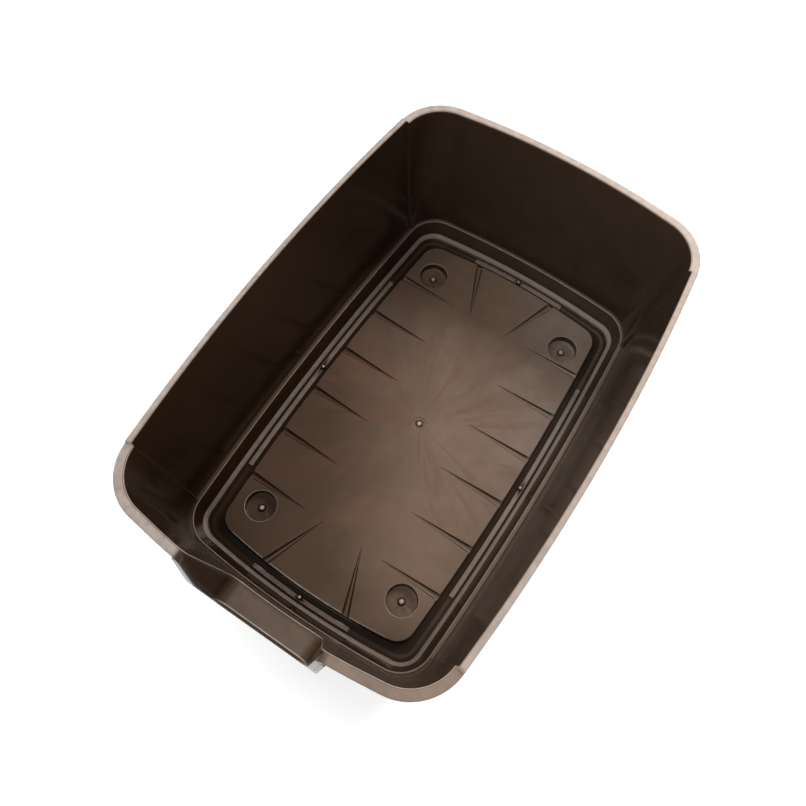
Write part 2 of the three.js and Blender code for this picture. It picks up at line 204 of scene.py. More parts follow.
class FootSizes(bpy.types.PropertyGroup):
    """Sizes of a push-in rubber foot."""

    radius: length("Pad radius", "Radius of the foot's pad", 0.015)
    edge: length("Pad edge", "Rounding of the pad's edges", 0.0008)
    dish_radius: length("Dish radius", "Radius of the shallow dish under the pad", 0.0095)
    dish_depth: length("Dish depth", "Depth of that dish", 0.0006)
    stem_radius: length("Stem radius", "Radius of the stem in its socket", 0.0028)
    stem_length: length("Stem length", "Length of the stem", 0.0033)
    gap: length("Fit gap", "Gap between a foot and the pan", 0.0003)


class PlasticLook(bpy.types.PropertyGroup):
    """Colours and gloss of the plastic and the rubber."""

    # Brown and deep brown are the two ends of the floor's painted sheen, brighter towards the right and
    # the back.
    brown: colour("Brown", "Colour of the worn floor", (0.150, 0.098, 0.068))
    deep: colour("Deep brown", "Colour of the floor where it is less worn", (0.040, 0.0215, 0.0115))
    # The shaded brown is the colour of painted shade on walls and in hollows.
    shade: colour("Shaded brown", "Near-black brown of the walls and hollows", (0.0085, 0.0036, 0.0012))
    flow: colour("Flow brown", "Reddish brown of the flow marks round the gate", (0.095, 0.038, 0.024))
    # The paler brown also paints the highlights along edges and the floor's painted sheen.
    pale: colour("Worn brown", "Paler brown of scuffed edges", (0.42, 0.36, 0.32))
    gloss: factor("Wall roughness", "Roughness of the polished walls", 0.14)
    floor_gloss: factor("Floor roughness", "Roughness of the worn floor", 0.45)
    rubber: colour("Rubber", "Colour of the feet", (0.016, 0.0145, 0.013))


class StudioLook(bpy.types.PropertyGroup):
    """The plain studio."""

    floor: colour("Floor", "Colour of the studio floor", (0.87, 0.87, 0.87))
    back_box: power("Back box", "Power of the soft box behind the pan", 62.0)
    front_box: power("Front box", "Power of the soft box over the front", 20.0)
    left_box: power("Left box", "Power of the soft box at the left", 12.0)
    horizon: bpy.props.FloatProperty(
        name="Horizon", description="Brightness of the surroundings low down", default=0.9, min=0)
    zenith: bpy.props.FloatProperty(
        name="Zenith", description="Brightness of the surroundings overhead", default=0.25, min=0)


# ---- Outlines -------------------------------------------------------------------------------------

def mix(a, b, share):
    return a + (b - a) * share


def smooth(share):
    share = min(1, max(0, share))
    return share * share * (3 - 2 * share)


class Outline:
    """A rectangle with bowed sides and round corners. Each side is one large arc, and each corner is
    an arc tangent to both. It is worked out for the +X +Y quarter."""

    def __init__(self, half_width, half_length, side_bow, end_bow, corner):
        self.side_radius = (half_length ** 2 + side_bow ** 2) / (2 * side_bow)
        self.end_radius = (half_width ** 2 + end_bow ** 2) / (2 * end_bow)
        self.side_centre = half_width + side_bow - self.side_radius
        self.end_centre = half_length + end_bow - self.end_radius
        self.corner = corner
        # The corner's centre lies at a known distance from both of those centres.
        from_side = self.side_radius - corner
        from_end = self.end_radius - corner
        span = math.hypot(self.side_centre, self.end_centre)
        along = (from_side ** 2 - from_end ** 2 + span ** 2) / (2 * span)
        across = math.sqrt(from_side ** 2 - along ** 2)
        self.x = self.side_centre - (self.side_centre * along + self.end_centre * across) / span
        self.y = (self.end_centre * along - self.side_centre * across) / span
        self.start = math.atan2(self.y, self.x - self.side_centre)
        self.end = math.atan2(self.y - self.end_centre, self.x)
        self.tangent_y = self.side_radius * math.sin(self.start)

    def side_x(self, y):
        return self.side_centre + math.sqrt(self.side_radius ** 2 - y ** 2)

    def end_y(self, x):
        return self.end_centre + math.sqrt(self.end_radius ** 2 - x ** 2)

    def corner_point(self, share):
        angle = mix(self.start, self.end, share)
        return self.x + self.corner * math.cos(angle), self.y + self.corner * math.sin(angle)

    def at(self, station, x=None):
        """The point where the outline crosses a station."""
        if station.kind == "corner":
            px, py = self.corner_point(station.t)
            return station.sx * px, station.sy * py
        if station.kind == "side":
            y = station.y
            if station.near_corner:
                y = station.near_corner * (self.tangent_y - station.run)
            return station.sx * self.side_x(y), y
        x = station.x if x is None else x
        return x, station.sy * self.end_y(x)


# ---- Stations round the pan -----------------------------------------------------------------------

CORNER_STEPS = 26
SIDE_STEP_SHARES = [i / 8 for i in range(9)]
SIDE_PARTS = 9  # stations between the middle of a long side and a strip's end, and past it
END_PARTS = 7
NOTCH_ARC_PARTS = 9
NOTCH_STRAIGHT_PARTS = 6
NOTCH_FLAT_PARTS = 6
STRIP_END_RUN = 0.0008  # a strip's end slopes over this length
STRIP_SIDE_RUNS = (STRIP_END_RUN, 0.02, 0.04)  # stations on a long side past a strip's end
CORNER_CLEAR = 0.001  # the ends' last stations stay this far inside the panel's corners
END_LAST_PARTS = 3  # stations from an end's outermost given place to its last
SAME_PLACE = 1e-9

# ---- Section across the pan -----------------------------------------------------------------------

# Places of the floor's inner rings, as shares of the way out to its edge. Small flat faces keep
# their shape when wells and grooves are cut into them.
FLOOR_SHARES = (0.0, 0.05, 0.12, 0.22, 0.35, 0.5, 0.65, 0.8, 0.92)
WALL_PARTS = 9
WALL_END_SHARE = 0.015
SLOPE_SHARES = (0.07, 0.5, 0.93)
CROWN_PARTS = 5

# How far each round of the section reaches.
STRIP_ROUND = 0.0010
GAP_ROUND = 0.0008
LEDGE_ROUND = 0.0009
WALL_FOOT_ROUND = 0.0012
LINE_ROUND = 0.0008  # the two edges of the flange's top
SKIRT_ROUND = 0.0005
FLANGE_ROUND = 0.0006
OUTER_FOOT_ROUND = 0.0020
UNDER_BEAD_ROUND = 0.0010
EDGE_SHARE = 0.48  # a round takes less than half of the edges beside it

PANEL_RIM = 0.004  # flat width of the floor beside the panel's edge
PANEL_RIM_UNDER = 0.008  # and on its underside
STRIP_REMNANT = 0.0001  # height of the strip's line above the trench where there is no strip
LIP_STARTS = 0.9  # the rolled edge of the lip grows in over the last of the entry's depth
ROLL_AT_RIM = 0.0022  # width of that edge away from the lip
SKIRT_MIDDLE = 0.6  # share of the skirt's depth where its tone is set

# Tones: below 0 is painted shade, darker towards near-black brown, and above 0 is paler, for edge wear and
# painted highlights.
# The rim's top is painted paler as a painted reflection of the soft boxes.
RIM_TONE = 0.68
RIM_TONE_FRONT_RIGHT = 0.2  # the rim's painted reflection is weaker there
RIM_TONE_FADE = 0.03
# Painted highlight lines, with a little wear: the flange's inner edge, the floor panel's edges, the
# strips, the bead and the ledge.
INNER_EDGE_TONE = 0.8
FRONT_PANEL_TONE = 1.0
PANEL_EDGE_TONE = 0.15
STRIP_TONE = 0.32
STRIP_SIDE_TONE = 0.6  # of the tone of the strip's edge
BEAD_TONE = 0.3
BEAD_SIDE_TONE = 0.22
LEDGE_TONE = 0.4
# Painted shade: the wall's foot, the entry's ramp, the walls, the slope up to the ledge, the outside and
# the skirt. The lip is left a little paler.
WALL_FOOT_TONE = -0.8
RAMP_TONE = -0.75
LIP_TONE = 0.1
WALL_TONE = -0.85
SLOPE_TONE = -0.8
OUTSIDE_TONE = -0.55
SKIRT_TONE = -0.25


def station(**given):
    """A place on the way round the pan. Its kind is side, end or corner."""
    usual = dict(kind="end", sx=1, sy=1, t=0.0, x=0.0, y=0.0, near_corner=0, run=0.0,
                 panel=0.0, strip=0.0, z=RIM_TOP, slope=0.0)
    return SimpleNamespace(**{**usual, **given})


class PanShape:
    """The pan's moulding as points: stations round the outline, and a section at each of them."""

    def __init__(self, sizes, entry):
        self.sizes = sizes
        self.entry = entry
        self.corner_half_width = RIM_HALF_WIDTH - sizes.side_bow
        self.corner_half_length = RIM_HALF_LENGTH - sizes.end_bow
        self.ledge_half_width = self.corner_half_width - sizes.side_lean
        self.ledge_half_length = self.corner_half_length - sizes.end_lean
        self.strip_half_width = self.ledge_half_width - sizes.strip_side
        self.strip_half_length = self.ledge_half_length - sizes.strip_end
        self.notch_half_width = self.corner_half_width - sizes.rim_corner - entry.corner_gap
        self.outlines = {}

    def outline(self, share, inset, corner):
        """The outline at a share of the wall's height: 0 is the ledge and 1 the rim's edge."""
        key = (round(share, 9), round(inset, 9), round(corner, 9))
        if key not in self.outlines:
            sizes = self.sizes
            self.outlines[key] = Outline(
                mix(self.ledge_half_width, self.corner_half_width, share) - inset,
                mix(self.ledge_half_length, self.corner_half_length, share) - inset,
                mix(sizes.base_side_bow, sizes.side_bow, share),
                mix(sizes.base_end_bow, sizes.end_bow, share),
                corner)
        return self.outlines[key]

    # Stations

    def notch(self):
        """Half of the entry from the middle outwards: flat lip, lower fillet, side, upper round."""
        entry = self.entry
        angle = entry.side_angle
        arcs = entry.lower_radius + entry.upper_radius
        drop = RIM_TOP - entry.height
        straight = (drop - arcs * (1 - math.cos(angle))) / math.sin(angle)
        flat = self.notch_half_width - arcs * math.sin(angle) - straight * math.cos(angle)
        points = []
        for i in range(1, NOTCH_FLAT_PARTS):
            points.append((flat * i / NOTCH_FLAT_PARTS, entry.height, 0.0))
        for i in range(NOTCH_ARC_PARTS + 1):
            slope = angle * i / NOTCH_ARC_PARTS
            points.append((flat + entry.lower_radius * math.sin(slope),
                           entry.height + entry.lower_radius * (1 - math.cos(slope)), slope))
        x, z = points[-1][:2]
        for i in range(1, NOTCH_STRAIGHT_PARTS):
            run = straight * i / NOTCH_STRAIGHT_PARTS
            points.append((x + run * math.cos(angle), z + run * math.sin(angle), angle))
        for i in range(NOTCH_ARC_PARTS, -1, -1):
            slope = angle * i / NOTCH_ARC_PARTS
            points.append((self.notch_half_width - entry.upper_radius * math.sin(slope),
                           RIM_TOP - entry.upper_radius * (1 - math.cos(slope)), slope))
        return [dict(x=x, z=z, slope=slope) for x, z, slope in points]

    def side(self, sx, direction):
        """The stations of a long side, from one corner to the other."""
        half = self.strip_half_length
        ys = [half * i / SIDE_PARTS for i in range(1, SIDE_PARTS + 1)]
        ys += [half + run for run in STRIP_SIDE_RUNS]
        ys = [-y for y in reversed(ys)] + [0.0] + ys
        run = self.sizes.panel_run
        steps = [dict(run=run * share, panel=smooth(share)) for share in SIDE_STEP_SHARES[1:]]
        found = [dict(near_corner=-direction, **step) for step in steps]
        for y in ys:
            strip = 1.0 if abs(y) <= half + SAME_PLACE else 0.0
            found.append(dict(y=y * direction, panel=1.0, strip=strip))
        found += [dict(near_corner=direction, **step) for step in reversed(steps)]
        return [station(kind="side", sx=sx, **each) for each in found]

    def end(self, sy, half, direction):
        """The stations of an end wall, from one corner to the other."""
        sizes = self.sizes
        last = self.ledge_half_width - sizes.panel_inset - sizes.panel_corner - CORNER_CLEAR
        start = half[-1]["x"]
        outwards = half + [dict(x=mix(start, last, i / END_LAST_PARTS))
                           for i in range(1, END_LAST_PARTS + 1)]
        mirrored = [{**each, "x": -each["x"], "slope": -each.get("slope", 0.0)}
                    for each in reversed(outwards)]
        centre = {**half[0], "x": 0.0, "slope": 0.0}
        found = []
        for each in mirrored + [centre] + outwards:
            strip = 1.0 if abs(each["x"]) <= self.strip_half_width + SAME_PLACE else 0.0
            placed = {**each, "x": each["x"] * direction,
                      "slope": each.get("slope", 0.0) * direction, "strip": strip}
            found.append(station(kind="end", sy=sy, **placed))
        return found

    def corner(self, sx, sy, reverse):
        steps = range(CORNER_STEPS + 1)
        shares = [i / CORNER_STEPS for i in (reversed(steps) if reverse else steps)]
        return [station(kind="corner", sx=sx, sy=sy, t=share) for share in shares]

    def stations(self):
        half = self.strip_half_width
        back = [dict(x=half * i / END_PARTS) for i in range(1, END_PARTS + 1)]
        back.append(dict(x=half + STRIP_END_RUN))
        return (self.side(1, 1) + self.corner(1, 1, False) + self.end(1, back, -1)
                + self.corner(-1, 1, True) + self.side(-1, -1) + self.corner(-1, -1, False)
                + self.end(-1, self.notch(), 1) + self.corner(1, -1, True))

    # Points of the section

    def low(self, at, inset, z, ring):
        """A point below the ledge, by its inset from the ledge line. Its corner runs parallel to
        the corner of the ring that it belongs to."""
        ring_inset, ring_corner = ring
        x, y = self.outline(0, inset, ring_corner - (inset - ring_inset)).at(at)
        return Vector((x, y, z))

    def on_wall(self, at, z, outwards, x=None):
        """A point on the wall. The long walls stand further out than the corner walls."""
        sizes = self.sizes
        share = (z - sizes.ledge_height) / (RIM_TOP - sizes.ledge_height)
        inset = mix(-sizes.ledge_tread, sizes.rim_band, share) - outwards
        corner = mix(sizes.ledge_corner, sizes.rim_corner - sizes.rim_band, share) + outwards
        px, py = self.outline(share, inset, corner).at(at, x)
        return Vector((px + at.sx * at.panel * sizes.panel_out, py, z))

    def wall_top(self, at, down, outwards):
        z = at.z + at.panel * RIM_RISE
        x = at.x + down * math.sin(at.slope) if at.kind == "end" else None
        return self.on_wall(at, z - down * math.cos(at.slope), outwards, x)

    def notch_share(self, at):
        """How far down the entry a station is: 0 at the rim and 1 at the lip."""
        return max(0.0, (RIM_TOP - at.z) / (RIM_TOP - self.entry.height))

    def on_flange(self, at, inset, down):
        """A point on the flange, in from its outer edge and down from its top, square to the
        entry's outline."""
        share = self.notch_share(at)
        z = at.z + at.panel * RIM_RISE - down * math.cos(at.slope)
        x = at.x + down * math.sin(at.slope) if at.kind == "end" else None
        px, py = self.outline(1, inset, self.sizes.rim_corner - inset).at(at, x)
        if share:
            lip_y = -(RIM_HALF_LENGTH + LIP_REACH - inset)
            py = mix(py, lip_y, min(1, share / self.entry.straight_below))
        return Vector((px, py, z))

    def section(self, at):
        """The section at a station, from the floor panel up the inside, over the rim and back
        underneath. Each corner of it has a reach and a number of steps for its round, and a tone."""
        s = self.sizes
        ledge = (0.0, s.ledge_corner)
        bead = (s.bead_outer, s.bead_corner)
        trench = (s.strip_outer, s.trench_corner)
        panel = (s.panel_inset, s.panel_corner)
        strip_inner = s.strip_outer + s.strip_width
        strip_top = mix(s.trench + STRIP_REMNANT, s.strip_height, at.strip)
        # Where there is no strip, its line is painted dark as shade in the trench.
        strip_tone = mix(-1.0, STRIP_TONE, at.strip)
        under = s.trench - s.floor
        riser = s.panel_inset + s.riser_wall
        down_notch = self.notch_share(at)
        lip = max(0.0, (down_notch - LIP_STARTS) / (1 - LIP_STARTS))
        # The rim's top carries a painted reflection, weaker at the front right and dark as painted shade
        # down the entry's ramp; the lip's edges carry painted highlight lines.
        front_right = at.sy < 0 and (at.x > 0 if at.kind == "end" else at.kind == "corner" and at.sx > 0)
        rim_tone = mix(RIM_TONE_FRONT_RIGHT if front_right else RIM_TONE, RAMP_TONE,
                       min(1, down_notch / RIM_TONE_FADE))
        if lip > 0:
            rim_tone = mix(RAMP_TONE, LIP_TONE, lip)
        edge_tone = mix(rim_tone, RAMP_TONE, lip)
        # A painted highlight along the floor panel's front edge.
        panel_tone = FRONT_PANEL_TONE if at.kind == "end" and at.sy < 0 else PANEL_EDGE_TONE
        ledge_inner = self.low(at, s.ledge_tread, s.ledge_height, ledge)
        foot = self.on_wall(at, s.ledge_height, 0)
        top = self.wall_top(at, 0, 0)
        crown = s.crown * (1 - down_notch)
        rim = self.on_flange(at, 0, crown)
        dropped = self.on_flange(at, 0, crown + self.entry.roll_drop * lip)
        roll = mix(ROLL_AT_RIM, self.entry.roll, lip) / (rim - top).length
        outer_top = self.wall_top(at, s.flange, s.wall)
        outer_foot = self.on_wall(at, s.ledge_height - s.floor, s.wall)
        bead_top = self.low(at, s.bead_outer, s.bead_height + s.bead_rise, bead)
        panel_edge = self.low(at, s.panel_inset + PANEL_RIM, s.panel_height, panel)
        panel_under = self.low(at, s.panel_inset + PANEL_RIM_UNDER, s.panel_height - s.floor, panel)
        return rounded([
            *[plain(shrunk(panel_edge, share)) for share in FLOOR_SHARES],
            plain(panel_edge),
            bend(self.low(at, s.panel_inset, s.panel_height, panel), s.panel_round, 5, panel_tone),
            hollow(self.low(at, s.panel_inset - s.draft, s.trench, panel), s.trench_round, 5),
            hollow(self.low(at, strip_inner + s.draft, s.trench, trench), s.trench_round),
            *[bend(self.low(at, inset, strip_top, trench), STRIP_ROUND, 3, strip_tone,
                   strip_tone * STRIP_SIDE_TONE) for inset in (strip_inner, s.strip_outer)],
            hollow(self.low(at, s.strip_outer - s.draft, s.trench, trench), GAP_ROUND),
            hollow(self.low(at, s.bead_inner + s.draft, s.trench, bead), GAP_ROUND),
            ridge(self.low(at, s.bead_inner, s.bead_height, bead), s.bead_round),
            ridge(bead_top, s.bead_round),
            *[plain(bead_top.lerp(ledge_inner, share), SLOPE_TONE) for share in SLOPE_SHARES],
            bend(ledge_inner, LEDGE_ROUND, 4, LEDGE_TONE),
            bend(foot, WALL_FOOT_ROUND, 3, WALL_FOOT_TONE),
            *between(foot, top, WALL_TONE),
            # Painted highlight lines along the flange's two edges, brightest on the lip.
            bend(top, LINE_ROUND, 5, mix(INNER_EDGE_TONE, 1.0, lip)),
            *[plain(crowned(top, rim, crown, (1 - roll) * i / CROWN_PARTS), rim_tone)
              for i in range(1, CROWN_PARTS)],
            bend(crowned(top, rim, crown, 1 - roll), LINE_ROUND, 5, mix(rim_tone, 1.0, lip), rim_tone),
            bend(dropped, mix(s.rim_edge, self.entry.lip_edge, lip), 7, edge_tone, edge_tone),
            plain(self.on_flange(at, 0, s.skirt * SKIRT_MIDDLE), SKIRT_TONE),
            outside(self.on_flange(at, 0, s.skirt), SKIRT_ROUND),
            outside(self.on_flange(at, s.skirt_wall, s.skirt), SKIRT_ROUND),
            outside(self.on_flange(at, s.skirt_wall, s.flange), FLANGE_ROUND),
            outside(outer_top, FLANGE_ROUND),
            *between(outer_top, outer_foot, OUTSIDE_TONE),
            outside(outer_foot, OUTER_FOOT_ROUND),
            outside(self.low(at, s.ledge_tread - s.wall, s.ledge_height - s.floor, ledge), LEDGE_ROUND),
            outside(self.low(at, s.bead_outer - s.wall, s.bead_height - s.floor, bead), OUTER_FOOT_ROUND),
            outside(self.low(at, s.bead_inner - s.floor / 2, under, bead), UNDER_BEAD_ROUND),
            outside(self.low(at, riser - s.draft, under, panel), FLANGE_ROUND),
            outside(self.low(at, riser, s.panel_height - s.floor, panel), UNDER_BEAD_ROUND),
            plain(panel_under, OUTSIDE_TONE),
            *[plain(shrunk(panel_under, share), OUTSIDE_TONE) for share in reversed(FLOOR_SHARES)],
        ])


def bend(place, reach, steps=3, tone=0.0, base=0.0):
    """A rounded corner of the section. Its tone is reached in the middle of the round."""
    return SimpleNamespace(place=place, reach=reach, steps=steps, tone=tone, base=base)


def ridge(place, reach):
    """An edge of the bead, paler all over as a painted highlight line."""
    return bend(place, reach, 4, BEAD_TONE, BEAD_SIDE_TONE)


def hollow(place, reach, steps=4):
    """A deep inside corner, painted dark all over as shade."""
    return bend(place, reach, steps, -1.0, -1.0)


def outside(place, reach):
    """A round on the pan's outside and underside, painted darker as shade."""
    return bend(place, reach, 3, OUTSIDE_TONE, OUTSIDE_TONE)


def plain(place, tone=0.0):
    """A point of the section that isn't rounded."""
    return bend(place, 0.0, 0, tone, tone)


def shrunk(point, share):
    """A point of the floor, drawn in towards its middle."""
    return Vector((point.x * share, point.y * share, point.z))


def between(start, finish, tone):
    """Points down a wall: the first and last lie close to its ends, where its tone begins."""
    shares = [WALL_END_SHARE, *[i / WALL_PARTS for i in range(1, WALL_PARTS)], 1 - WALL_END_SHARE]
    return [plain(start.lerp(finish, share), tone) for share in shares]


def crowned(start, finish, crown, share):
    """A point of the flange's gently domed top."""
    return start.lerp(finish, share) + Vector((0, 0, crown * (share - share ** 2)))


def rounded(corners):
    """A line through a section's corners, each rounded by a curve that starts and ends within its
    reach. Each point comes with its tone."""
    line = [(corners[0].place, corners[0].tone)]
    for before, corner, after in zip(corners, corners[1:], corners[2:]):
        here = corner.place
        if not corner.steps:
            line.append((here, corner.tone))
            continue
        back, ahead = before.place - here, after.place - here
        start = here + back.normalized() * min(corner.reach, back.length * EDGE_SHARE)
        finish = here + ahead.normalized() * min(corner.reach, ahead.length * EDGE_SHARE)
        for step in range(corner.steps + 1):
            t = step / corner.steps
            point = start * (1 - t) ** 2 + here * 2 * t * (1 - t) + finish * t ** 2
            line.append((point, mix(corner.base, corner.tone, math.sin(math.pi * t))))
    line.append((corners[-1].place, corners[-1].tone))
    return line


# ---- Modelling helpers ----------------------------------------------------------------------------

def deselect():
    """Leaves edit mode and selects nothing."""
    if bpy.context.object and bpy.context.object.mode != "OBJECT":
        bpy.ops.object.mode_set(mode="OBJECT")
    bpy.ops.object.select_all(action="DESELECT")


def take(name):
    """The object that was just added, under its own name."""
    made = bpy.context.object
    made.name = name
    made.data.name = name
    return made


def activate(made):
    """Selects one object alone, for the operators that follow."""
    deselect()
    made.select_set(True)
    bpy.context.view_layer.objects.active = made


def settle(made):
    """Puts an object's place into its mesh."""
    activate(made)
    bpy.ops.object.transform_apply(location=True, rotation=True, scale=True)
    return made


def close_up(made, merge):
    """Merges doubles, fills open rings and turns the faces out."""
    activate(made)
    bpy.ops.object.mode_set(mode="EDIT")
    bpy.ops.mesh.select_all(action="SELECT")
    bpy.ops.mesh.remove_doubles(threshold=merge)
    bpy.ops.mesh.select_all(action="DESELECT")
    bpy.ops.mesh.select_mode(type="EDGE")
    bpy.ops.mesh.select_non_manifold()
    bpy.ops.mesh.fill_holes(sides=0)
    bpy.ops.mesh.select_all(action="SELECT")
    bpy.ops.mesh.normals_make_consistent(inside=False)
    bpy.ops.object.mode_set(mode="OBJECT")
    return made


def set_tones(made, tones):
    """Gives each of a mesh's points its tone, which the plastic reads."""
    made.data.attributes.new("tone", "FLOAT", "POINT").data.foreach_set("value", tones)


def turned(name, profile, sides, place, tone_at=None):
    """A turned shape: a ring is extruded from one radius and height of the profile to the next. Its
    tone is worked out from the radius and the height."""
    (radius, z), rest = profile[0], profile[1:]
    deselect()
    bpy.ops.mesh.primitive_circle_add(
        vertices=sides, radius=radius, location=(place.x, place.y, place.z + z))
    made = settle(take(name))
    bpy.ops.object.mode_set(mode="EDIT")
    bpy.ops.mesh.select_all(action="SELECT")
    for next_radius, next_z in rest:
        rise = (0, 0, next_z - z)
        centre = (place.x, place.y, place.z + next_z)
        bpy.ops.mesh.extrude_edges_move(TRANSFORM_OT_translate={"value": rise})
        bpy.ops.transform.resize(
            value=(next_radius / radius, next_radius / radius, 1), center_override=centre)
        radius, z = next_radius, next_z
    bpy.ops.object.mode_set(mode="OBJECT")
    close_up(made, 1e-7)
    if tone_at:
        offsets = [point.co - place for point in made.data.vertices]
        set_tones(made, [tone_at(math.hypot(offset.x, offset.y), offset.z) for offset in offsets])
    return made


def wound(name, lines, tones, place, merge):
    """A closed shape from a grid: each of the lines is one ring of points, the tones go with them,
    and the place is the matrix that they are moved by."""
    rows, columns = len(lines), len(lines[0])
    deselect()
    bpy.ops.mesh.primitive_grid_add(x_subdivisions=columns, y_subdivisions=rows - 1, size=1)
    made = take(name)
    count = (columns + 1) * rows
    if len(made.data.vertices) != count:
        raise RuntimeError(f"{name}: the grid has {len(made.data.vertices)} points, not {count}")
    order = [(row, column % columns) for row in range(rows) for column in range(columns + 1)]
    flat = [value for row, column in order for value in place @ lines[row][column]]
    made.data.vertices.foreach_set("co", flat)
    set_tones(made, [tones[row][column] for row, column in order])
    made.data.update()
    return close_up(made, merge)


def arc(centre_r, centre_z, radius, start, finish, steps):
    """Points of a round in a turned profile, angles in degrees."""
    angles = [math.radians(mix(start, finish, i / steps)) for i in range(steps + 1)]
    return [(centre_r + radius * math.cos(a), centre_z + radius * math.sin(a)) for a in angles]


def join_up(name, pieces):
    """Several objects as one."""
    deselect()
    for each in pieces:
        each.select_set(True)
    bpy.context.view_layer.objects.active = pieces[0]
    bpy.ops.object.join()
    return take(name)


def combine(made, other, operation):
    """Joins another solid to a piece, or cuts it away, and removes that solid."""
    activate(made)
    tool = made.modifiers.new("combine", "BOOLEAN")
    tool.operation = operation
    tool.solver = "MANIFOLD"
    tool.object = other
    bpy.ops.object.modifier_apply(modifier=tool.name)
    bpy.data.objects.remove(other)
    if not made.data.polygons:
        raise RuntimeError(f"{made.name}: nothing is left after a {operation.lower()} step")


def finish_surface(made, material):
    """Smooth shading that keeps flat faces flat, and the piece's material."""
    activate(made)
    bpy.ops.object.shade_smooth_by_angle(angle=math.radians(30))
    weigh = made.modifiers.new("weigh", "WEIGHTED_NORMAL")
    weigh.keep_sharp = True
    bpy.ops.object.modifier_apply(modifier=weigh.name)
    made.data.materials.clear()
    made.data.materials.append(material)


def stand_in(piece, node):
    """A piece takes the place of a CAD node. All of them ride on the one body."""
    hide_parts(node)
    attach(piece, "root")


def centred(x, y, z=0.0):
    """A place given from the middle of the tub."""
    return Vector((x, CENTRE_Y + y, z))


# ---- The pan --------------------------------------------------------------------------------------

def loft(name, sections):
    """The solid that runs through the sections, each a list of places with their tones."""
    rings = list(zip(*sections))
    lines = [[place for place, tone in ring] for ring in rings]
    tones = [[tone for place, tone in ring] for ring in rings]
    return wound(name, lines, tones, Matrix.Translation(centred(0, 0)), 1e-6)


def groove_lines(shape, floor):
    """Each groove from its pointed inner end to the panel's edge."""
    sizes = shape.sizes
    edge = shape.outline(0, sizes.panel_inset, sizes.panel_corner)
    last = shape.ledge_half_length - floor.groove_end
    lines = []
    for sx in (1, -1):
        for i in range(floor.grooves):
            y = mix(-last, last, i / (floor.grooves - 1))
            lines.append((centred(sx * floor.groove_inner, y), centred(sx * edge.side_x(y), y)))
        for sy in (1, -1):
            mouth = centred(sx * floor.end_groove_outer, sy * edge.end_y(floor.end_groove_outer))
            lines.append((centred(sx * floor.end_groove_inner, sy * last), mouth))
    return lines


# A groove's sides are painted dark as shade, and its bottom a little paler as a painted highlight.
GROOVE_TONE = -0.9
GROOVE_FLOOR_TONE = 0.12
GROOVE_STEPS = 10
GROOVE_BOTTOM_STEPS = 12
GROOVE_FLARE_STEPS = 4
GROOVE_FLARE = 0.4  # at most this share of a groove's radius is rounded off beside it
GROOVE_OVERRUN = 0.003  # a groove's cutter runs on past the panel's edge
RIB_SHORT = 0.0015  # and its rib stops before it
RIB_SUNK = 0.001  # a rib's top lies this far under the floor's top, and a cutter's above it
FLARE_START = 97  # angle in degrees where a rounded edge leaves the floor's top


def rib_section(radius):
    """The outline of the rib under a groove, with its tones."""
    dip = math.degrees(math.asin(RIB_SUNK / radius))
    outline = arc(0, 0, radius, -dip, dip - 180, GROOVE_BOTTOM_STEPS)
    return outline, [0.0] * len(outline)


def groove_section(radius, edge_round):
    """The outline of a groove's cutter: a round bottom, and edges that flare out."""
    flare = min(edge_round, radius * GROOVE_FLARE)
    side = [(radius + flare, RIB_SUNK)]
    side += arc(radius + flare, -flare, flare, FLARE_START, 180, GROOVE_FLARE_STEPS)
    bottom = arc(0, -flare, radius, 0, -180, GROOVE_BOTTOM_STEPS)[1:-1]
    # Painted shade down the flares and the sides, and a painted highlight along the bottom.
    side_tones = [0.0] + [GROOVE_TONE * step / GROOVE_FLARE_STEPS
                          for step in range(GROOVE_FLARE_STEPS + 1)]
    turns = [math.pi * step / GROOVE_BOTTOM_STEPS for step in range(1, GROOVE_BOTTOM_STEPS)]
    bottom_tones = [mix(GROOVE_FLOOR_TONE, GROOVE_TONE, abs(math.cos(turn))) for turn in turns]
    return (side + bottom + [(-x, z) for x, z in reversed(side)],
            side_tones + bottom_tones + side_tones[::-1])


def trough(name, start, mouth, floor, top, wall=0.0):
    """The cutter of a tapering groove laid in the floor's top. With a wall it is the rib that the
    groove is cut into."""
    run = mouth - start
    reach = run.length + (-RIB_SHORT if wall else GROOVE_OVERRUN)
    lines, tones = [], []
    for i in range(GROOVE_STEPS + 1):
        share = i / GROOVE_STEPS
        radius = mix(floor.groove_tip, floor.groove_radius, share) + wall
        outline, shades = rib_section(radius) if wall else groove_section(radius, floor.edge_round)
        lines.append([Vector((reach * share, x, z)) for x, z in outline])
        tones.append(shades)
    place = (Matrix.Translation(Vector((start.x, start.y, top)))
             @ Matrix.Rotation(math.atan2(run.y, run.x), 4, "Z"))
    return wound(name, lines, tones, place, 1e-7)


DOME_STEPS = 8
DOME_PALE = 0.95  # painted highlight on top of a dome, and painted shade round its foot
DOME_DARK = -0.9


def dome(name, radius, height, sunk, sides, place):
    """A dome that is sunk a little into what it stands on, with a painted highlight on top and painted
    shade round its foot."""
    sphere = (radius ** 2 + height ** 2) / (2 * height)
    reach = math.degrees(math.asin(min(1, radius / sphere)))
    if height > radius:
        reach = 180 - reach
    points = arc(0, height - sphere, sphere, 90 - reach, 89, DOME_STEPS)
    return turned(name, [(points[0][0], -sunk)] + points, sides, place,
                  lambda at_radius, z: mix(DOME_PALE, DOME_DARK, smooth((at_radius / radius - 0.3) / 0.5)))


AXIS_CLEAR = 0.0005  # a turned shape's flat end starts this far from its axis
CUT_ABOVE = 0.001  # a cutter reaches this far past the face that it cuts
BOSS_EDGE = 0.0006
WELL_FOOT = 0.0012  # fillet between a well's floor and its wall
WELL_LEAN = 0.0002
